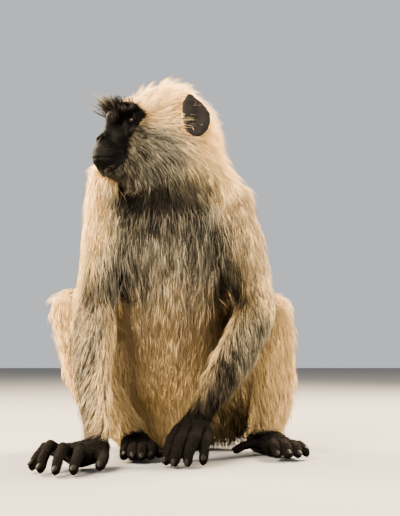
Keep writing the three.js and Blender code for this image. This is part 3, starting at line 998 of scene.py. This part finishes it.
def laid_down(points, heights, hold):
    """Points drawn towards a height over the skin: not at all for hold 0, fully for 1."""
    out = points.copy()
    for i, (p, h) in enumerate(zip(points.tolist(), heights.tolist())):
        where, facing_out, _, _ = skin_tree.find_nearest(p)
        out[i] = where + facing_out * h
    return points + (out - points) * hold


def spike_mesh(name, verts, rings, uv):
    """Closed spikes of three-cornered rings and a point, each with its patch of the unwrap."""
    count, per = verts.shape[:2]
    faces, patch = [(0, 2, 1)], [(0, 0), (2, 0), (1, -0.25)]
    last = len(rings) - 1
    for k in range(last):
        for c in range(3):
            d = (c + 1) % 3
            faces.append((3 * k + c, 3 * k + d, 3 * k + 3 + d, 3 * k + 3 + c))
            patch += [(c, rings[k]), (c + 1, rings[k]), (c + 1, rings[k + 1]), (c, rings[k + 1])]
    for c in range(3):
        faces.append((3 * last + c, 3 * last + (c + 1) % 3, per - 1))
        patch += [(c, rings[last]), (c + 1, rings[last]), (c + 0.5, 1)]
    sizes = np.array([len(f) for f in faces])
    spike = np.arange(count)[:, None]
    loops = (np.concatenate(faces) + spike * per).ravel()
    starts = (np.cumsum(sizes) - sizes + spike * sizes.sum()).ravel()
    mesh = bpy.data.meshes.new(name)
    mesh.vertices.add(count * per)
    mesh.vertices.foreach_set("co", verts.astype(np.float32).ravel())
    mesh.loops.add(len(loops))
    mesh.loops.foreach_set("vertex_index", loops.astype(np.int32))
    mesh.polygons.add(len(starts))
    mesh.polygons.foreach_set("loop_start", starts.astype(np.int32))
    smooth_shaded(mesh)
    mesh.update(calc_edges=True)
    bake = uv[:, None] + (np.array(patch) * (1 / 3, 1) - 0.5) * PATCH
    mesh.uv_layers.new(name="OFBake").data.foreach_set("uv", bake.astype(np.float32).ravel())
    print(f"{name}: {count} locks, {count * (sizes - 2).sum()} triangles")
    return mesh


def locks(name, found, rings=(0.0, 0.5), hold=0.8, spacing=16, gather=0.75, stray=0.12,
          curl=0.4, lift=1.0, length_spread=0.3, unruly=0.6, patchy=1.0):
    """One piece of closed, tapered spikes from arrays of roots."""
    count = len(found["place"])
    length = found["length"] * rng.uniform(1 - length_spread, 1 + length_spread, count) * MM
    height = found["height"] * rng.uniform(0.45, 1.1, count) * lift * MM
    width = found["width"] * rng.uniform(0.75, 1.2, count) * MM / 2
    normal_at, comb_at = found["normal"], found["comb"]
    side = unit(np.cross(comb_at, normal_at))
    turn = rng.normal(0, stray, count)[:, None]
    comb_at = unit(comb_at * np.cos(turn) + side * np.sin(turn))
    side = unit(np.cross(comb_at, normal_at))
    pull, outermost, tone_and_shade_here, astray = gathered(found, spacing, gather, patchy)
    height *= (1.12 - 0.35 * outermost) * (1 + unruly * astray)
    length *= 1 + 0.2 * astray
    bow = rng.normal(0, curl, count)[:, None] * MM * (found["length"] / 10)[:, None]
    stations = [*rings, 1.0]
    spine = []
    for s in stations:
        rise = 1 - (1 - s) ** 2
        at = found["place"] + comb_at * (length * s)[:, None] + pull * s ** 1.5
        at += side * bow * math.sin(math.pi * s) + normal_at * (height * rise)[:, None]
        if s > 0:
            at = laid_down(at, height * rise, hold)
        else:
            at -= normal_at * np.minimum(0.6 * MM, height[:, None])
        at[:, 2] = np.maximum(at[:, 2], LOWEST * MM)
        spine.append(at)
    corners = []
    for k in range(len(rings)):
        ahead_here = unit(spine[k + 1] - spine[max(k - 1, 0)])
        across = unit(np.cross(ahead_here, normal_at))
        upward = np.cross(across, ahead_here)
        half = (width * RING_WIDTHS[len(rings)][k])[:, None]
        for angle in np.radians((90, 210, 330)):
            out = math.cos(angle) * across + FLATNESS * math.sin(angle) * upward
            corners.append(spine[k] + half * out)
    corners.append(spine[-1])
    mesh = spike_mesh(name, np.stack(corners, 1), rings, found["uv"])
    along = np.repeat(stations, [3] * len(rings) + [1])
    add_attribute(mesh, "tip", np.tile(along, count))
    uneven = (0.45 - tone_and_shade_here) * 0.5 * ramp(found["grey"], 0.1, 0.5)
    for field in ("grey", "dark", "tan"):
        values = np.clip(found[field] + uneven * (field == "grey"), 0, 1)
        add_attribute(mesh, field, np.repeat(values, len(corners)))
    add_attribute(mesh, "tone", np.repeat(tone_and_shade_here, len(corners)))
    return new_object(name, mesh)


# %% [markdown]
# Regions are sown one by one, so that each piece stays a size that exports well. The
# counts follow the area and how fine the hair is: most on the head, fewest on the tail.

# %% Grow the coat
# No hair grows in the pit between the left elbow and the flank, so the skin there, painted dark as
# shade, shows through.
in_pit = ramp(spot((70, -60, 197), (16, 60, 15)), 0.3, 0.6)
furred = (1 - ramp(bare, 0.35, 0.9)) * (1 - in_pit)
head_top = on_head & ((up > 14) | (forward < -58))
left_half = place[:, 0] > -8
front = normal[:, 1] < 0.25
arm, leg = zone_is("upper_arm", "forearm"), zone_is("thigh", "shin")
REGIONS = {  # where it grows, how many locks, and how they differ
    "coat_crown": (head_top, 17000, {"stray": 0.24, "spacing": 11, "gather": 0.9, "unruly": 1.0}),
    "coat_cheeks": (on_head & ~head_top, 19500,
                    {"stray": 0.18, "hold": 0.55, "spacing": 10, "gather": 0.85, "patchy": 0.7}),
    "coat_neck": (zone_is("neck"), 15000, {"hold": 0.7, "gather": 0.85}),
    "coat_chest": (zone_is("chest") & front, 15500, {"spacing": 12, "patchy": 0.6}),
    "coat_belly": (zone_is("belly") & front, 10000,
                   {"gather": 0.25, "spacing": 8, "patchy": 0.1, "unruly": 0.1, "lift": 0.7}),
    "coat_back": (zone_is("chest", "belly") & ~front, 11000, {}),
    "coat_arm_right": (arm & ~left_half, 12000, {}),
    "coat_arm_left": (arm & left_half, 12000, {}),
    "coat_leg_right": (leg & ~left_half, 10000, {"patchy": 0.6}),
    "coat_leg_left": (leg & left_half, 10000, {"patchy": 0.6}),
    "coat_tail": (zone_is("tail"), 4800, {}),
    "coat_hands": (black_ends, 5600, {"stray": 0.3, "spacing": 6}),
}
coat = [locks(name, sow(where * furred, count), **ways)
        for name, (where, count, ways) in REGIONS.items()]

# A fringe of near-black hair under the left thigh, put where there is shade between the left hand and
# foot: painted shade.
low_edge = zone_is("belly", "thigh") & (place[:, 2] < 52) & (place[:, 0] > 22)
low_edge &= normal[:, 1] < 0.3
shade_fringe = sow(low_edge * 1.0, 1100)  # hangs to the floor behind the left hand
shade_fringe["comb"] = unit(np.array([0.1, -0.3, -1.0]) + rng.normal(0, 0.12, shade_fringe["comb"].shape))
shade_fringe["length"][:], shade_fringe["height"][:], shade_fringe["dark"][:] = 27, 1.5, 0.95
coat.append(locks("coat_fringe", shade_fringe, hold=0.0, gather=0.5, spacing=10))
done("coat grown")


# %% [markdown]
# Some hair stands on its own: the stiff black visor over the brows, which shades the
# eyes and spreads like a fan, the short black hair of the brow under it, the thin pale
# hairs that cross the ears, and the grey bristles on the chin and over the mouth.

# %% Visor, ear hairs, bristles
def columns(*parts):
    """Forward, aside and up as columns, any of them one number for all."""
    return np.stack(np.broadcast_arrays(*parts), 1)


def scatter(name, places, combs, shape, **ways):
    """Locks rooted at chosen places, given in head directions and moved on to the skin."""
    found = {"comb": unit(combs @ HEAD_AXES)}
    hits = [skin_tree.find_nearest(p) for p in from_head(places).tolist()]
    found["place"], found["normal"] = (np.array([hit[k] for hit in hits]) for k in (0, 1))
    found["uv"] = TRIANGLE_UV[[hit[2] for hit in hits]].mean(1)
    for field, value in zip(("length", "height", "width", "grey", "dark", "tan"), (*shape, 0.0)):
        found[field] = np.broadcast_to(value, len(places)).astype(float)
    coat.append(locks(name, found, **ways))


def jitter(count, spread):
    return rng.normal(0, spread, count)


FREE = {"rings": (0.0, 0.38, 0.74), "hold": 0}  # long hair that stands in the air
count = 640
across, row = rng.uniform(-1, 1, count), rng.random(count)
scatter("coat_visor",
        columns(84 - 16 * across ** 2 - 8 * row, 34 * across, 19 + 6 * row - 4 * across ** 2),
        columns(1.0 - 0.4 * row - 0.35 * across + jitter(count, 0.11),
                0.6 * across + jitter(count, 0.11),
                0.45 + 0.55 * row - 0.2 * across + jitter(count, 0.11)),
        (20 - 9 * across - 3 * row, 0.5, 0.9, 1.0, 0.74),
        gather=0.9, spacing=13, curl=0.25, length_spread=0.45, unruly=0.1, **FREE)

count = 2800
across, row = rng.uniform(-1, 1, count), rng.random(count)
scatter("coat_brow", columns(84 - 22 * across ** 2, 36 * across, 27 - (28 - 15 * across ** 2) * row),
        columns(0.35, 0.5 * across, 0.9), (7 + 3 * row, 1.6, 0.9, 1.0, 1.0),
        hold=0.5, gather=0.3, stray=0.35)

count = 220
side, high = rng.choice((-1, 1), count), rng.uniform(-1, 1, count)
scatter("coat_ears",
        columns(14 + 10 * rng.random(count) + 4 * high, side * (60 + 4 * rng.random(count)),
                2 + 26 * high),
        columns(-1, side * (0.30 + jitter(count, 0.04)), 0.35 * high + 0.15 + jitter(count, 0.15)),
        (23, 2.4, 0.13, 0.7, 0.0), gather=0.2, spacing=6, curl=1.3, length_spread=0.5, **FREE)

count = 2300
across, row = rng.uniform(-1, 1, count), rng.random(count)
low = np.where(row < 0.05, -36 - 140 * row, -58 - 27 * (row - 0.05))  # none on the lips
scatter("coat_lips", columns(100 - 22 * across ** 2, 24 * across, low),
        columns(0.5, 0.5 * across, -0.9), (2.2 + 3.5 * row ** 3, 0.8, 0.13, 1.0, 0.58),
        hold=0, gather=0.1, stray=0.5)
done("visor, ear hairs and bristles")

# %% [markdown]
# ## Eyes and nails
#
# The eyes are separate balls behind the lids, with a slight swell over the iris. How far
# a point is from the middle of the gaze picks its colour: pupil, dark iris, dark rim.

# %% Eyes
def eyeball(side):
    part = bmesh.new()
    bmesh.ops.create_uvsphere(part, u_segments=48, v_segments=32, radius=EYE_RADIUS)
    for degrees, axis in ((90, "Y"), (GAZE_ASIDE * side, "Z")):
        turn = Matrix.Rotation(math.radians(degrees), 3, axis)
        bmesh.ops.rotate(part, verts=part.verts, matrix=turn)
    aside = math.radians(GAZE_ASIDE)
    gaze = Vector((math.cos(aside), side * math.sin(aside), 0))
    off = [math.degrees(v.co.angle(gaze)) for v in part.verts]
    for v, angle in zip(part.verts, off):
        v.co *= 1 + 0.07 * math.exp(-(angle / 26) ** 4)
    bmesh.ops.translate(part, verts=part.verts, vec=EYE_CENTRE * (1, side, 1))
    in_frame = bmesh.new()
    place_block(in_frame, part)
    mesh = mesh_from(in_frame, "eyeball")
    add_attribute(mesh, "off_gaze", off)
    smooth_shaded(mesh)
    return new_object("eyeball_left" if side > 0 else "eyeball_right", mesh)


eyes = {side: eyeball(side) for side in (-1, 1)}

# %% Nails: small curved plates at the ends of the fingers and toes
NAIL_HALF = (0.0048, 0.0033, 0.0012)  # length, width and thickness, in m
NAIL_BEND = 60  # m of drop for each square metre aside
NAIL_FROM_TIP = 0.009  # the part of a digit that carries it, in m
nail_work, nail_count = bmesh.new(), 0
for index, node in enumerate(NODES):
    if zone_of(node) not in ("finger", "toe"):
        continue
    points = points_of(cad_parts[node].data)
    forward = Vector(COMBS[index])
    reach = (points @ np.array(forward)).max()
    middle = Vector(points[points @ np.array(forward) > reach - NAIL_FROM_TIP].mean(0))
    dorsal = (Vector((0, 0, 1)) - forward * forward.z).normalized()
    where, facing_out, _, _ = skin_tree.ray_cast(middle + dorsal * 0.03, -dorsal, 0.04)
    if where is None:
        continue
    facing_out = (facing_out - forward * facing_out.dot(forward) * 0.5).normalized()
    sideways = facing_out.cross(forward).normalized()
    turn = Matrix((sideways.cross(facing_out), sideways, facing_out)).transposed()
    part = ellipsoid((0, 0, 0), NAIL_HALF, 3)
    for v in part.verts:
        v.co.z -= NAIL_BEND * v.co.y ** 2
    bmesh.ops.rotate(part, verts=part.verts, matrix=turn)
    bmesh.ops.translate(part, verts=part.verts, vec=where + forward * 0.0012)
    add_to(nail_work, part)
    nail_count += 1
bmesh.ops.recalc_face_normals(nail_work, faces=nail_work.faces)
nails = new_object("nails", mesh_from(nail_work, "nails"))
smooth_shaded(nails.data)
print(nail_count, "nails")

# %% [markdown]
# ## Materials
#
# The hair is one material. Each lock carries how far along it a point is, how grey,
# dark or tan the coat is at its root, where dark also holds painted shade, and how light
# the lock is, which varies at random and is darker at the edges of its clump as painted
# shade. Pale hair is only a little darker at the root, and cooler where the coat turns
# grey; grey hair is dark for most of its length with a pale end, which is what makes the
# chest and arms look frosted.

# %% Coat
look = Material("coat_look", Roughness=0.65, Specular_IOR_Level=0.03)
tip, tone, tanned = look.attribute("tip"), look.attribute("tone"), look.attribute("tan")
greyness, darkness = look.attribute("grey"), look.attribute("dark")
bright = tone ** 0.6
pale_root = look.mix(bright, (0.20, 0.125, 0.055), (0.88, 0.60, 0.27))
pale_end = look.mix(bright, (0.42, 0.265, 0.105), (1.0, 0.69, 0.265))
cool_root = look.mix(bright, (0.045, 0.037, 0.027), (0.28, 0.235, 0.155))
cool_end = look.mix(bright, (0.15, 0.125, 0.085), (0.86, 0.745, 0.49))
tan_root = look.mix(tone, (0.052, 0.032, 0.016), (0.125, 0.082, 0.043))
tan_end = look.mix(tone, (0.13, 0.087, 0.046), (0.30, 0.215, 0.125))
along = tip.ramp(0.05, 0.75)
warm_hair, cool_hair = look.mix(along, pale_root, pale_end), look.mix(along, cool_root, cool_end)
pale_hair = look.mix(greyness.ramp(0.1, 0.6), warm_hair, cool_hair)
pale_hair = look.mix(tanned, pale_hair, look.mix(along, tan_root, tan_end))
grey_root = look.mix(tone, (0.0030, 0.0028, 0.0027), (0.013, 0.0122, 0.0114))
grey_end = look.mix(tone, (0.0070, 0.0067, 0.0064), (0.165, 0.160, 0.148))
grey_hair = look.mix(tip.ramp(0.40, 1.0), grey_root, grey_end)
dark_end = look.mix(tone, (0.0010, 0.0009, 0.0008), (0.008, 0.0064, 0.0052))
dark_hair = look.mix(tip.ramp(0.5, 1.0), (0.0008, 0.0007, 0.0006), dark_end)
look.set("Base Color", look.mix(darkness, look.mix(greyness, pale_hair, grey_hair), dark_hair))
for piece in coat:
    piece.data.materials.append(look.data)

# %% Skin
look = Material("skin_look", Specular_IOR_Level=0.018)
greyness, darkness, bareness = look.attribute("grey"), look.attribute("dark"), look.attribute("bare")
streaks = look.noise(260, 3)
# The skin under the coat is painted darker than the hair over it, as the hair's shade on it.
under_pale = look.mix(streaks, (0.30, 0.18, 0.085), (0.50, 0.33, 0.17))
under_tan = look.mix(streaks, (0.07, 0.042, 0.02), (0.14, 0.09, 0.045))
under_grey = look.mix(streaks, (0.007, 0.006, 0.005), (0.03, 0.025, 0.020))
under_coat = look.mix(look.attribute("tan"), under_pale, under_tan)
under_coat = look.mix(darkness, look.mix(greyness, under_coat, under_grey), (0.0020, 0.0016, 0.0014))
mottle = look.noise(90, 4)
black_skin = look.mix(mottle.ramp(0.35, 0.7), (0.0006, 0.0005, 0.00045), (0.0019, 0.0016, 0.0014))
# The ear's skin is painted a little lighter than the face: a painted sheen.
ear_sheen = look.mix(mottle, (0.004, 0.0036, 0.0033), (0.014, 0.0125, 0.0115))
black_skin = look.mix(look.attribute("ear"), black_skin, ear_sheen)
look.set("Base Color", look.mix(bareness, under_coat, black_skin))
look.set("Roughness", 0.85 - bareness * 0.30 + mottle * 0.1)
grain = look.noise(900, 3) * 0.6 + look.noise(240, 3) * 0.4
look.set("Normal", look.bump(grain, 0.5, 0.0006))
skin.data.materials.append(look.data)

# %% Eyes and nails
look = Material("eye_look", Roughness=0.3, Specular_IOR_Level=0.06)
off = look.attribute("off_gaze")
fibres = look.noise(1400, 2)
iris = look.mix(fibres, (0.0035, 0.0020, 0.0011), (0.012, 0.0064, 0.0033))
ball = look.mix(off.ramp(30, 34), iris, (0.010, 0.0075, 0.006))
look.set("Base Color", look.mix(off.ramp(12, 14), (0.002, 0.002, 0.002), ball))
for ball in eyes.values():
    ball.data.materials.append(look.data)
look = Material("nail_look", Roughness=0.55, Specular_IOR_Level=0.04)
horn = look.mix(look.noise(500, 3), (0.0015, 0.0012, 0.0010), (0.006, 0.0046, 0.0036))
look.set("Base Color", horn)
nails.data.materials.append(look.data)

# %% [markdown]
# ## Riding on the body
#
# Every piece rides on the one body, and the solids that the pieces stand for are
# hidden.

# %% Ride, replace, count
for piece in [skin, nails, *coat, *eyes.values()]:
    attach(piece, "root")
for side, ball in eyes.items():
    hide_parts("eye_left" if side > 0 else "eye_right")
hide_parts(*NODES)
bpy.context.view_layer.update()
done(f"{len(TRIANGLES)} skin triangles, all set")
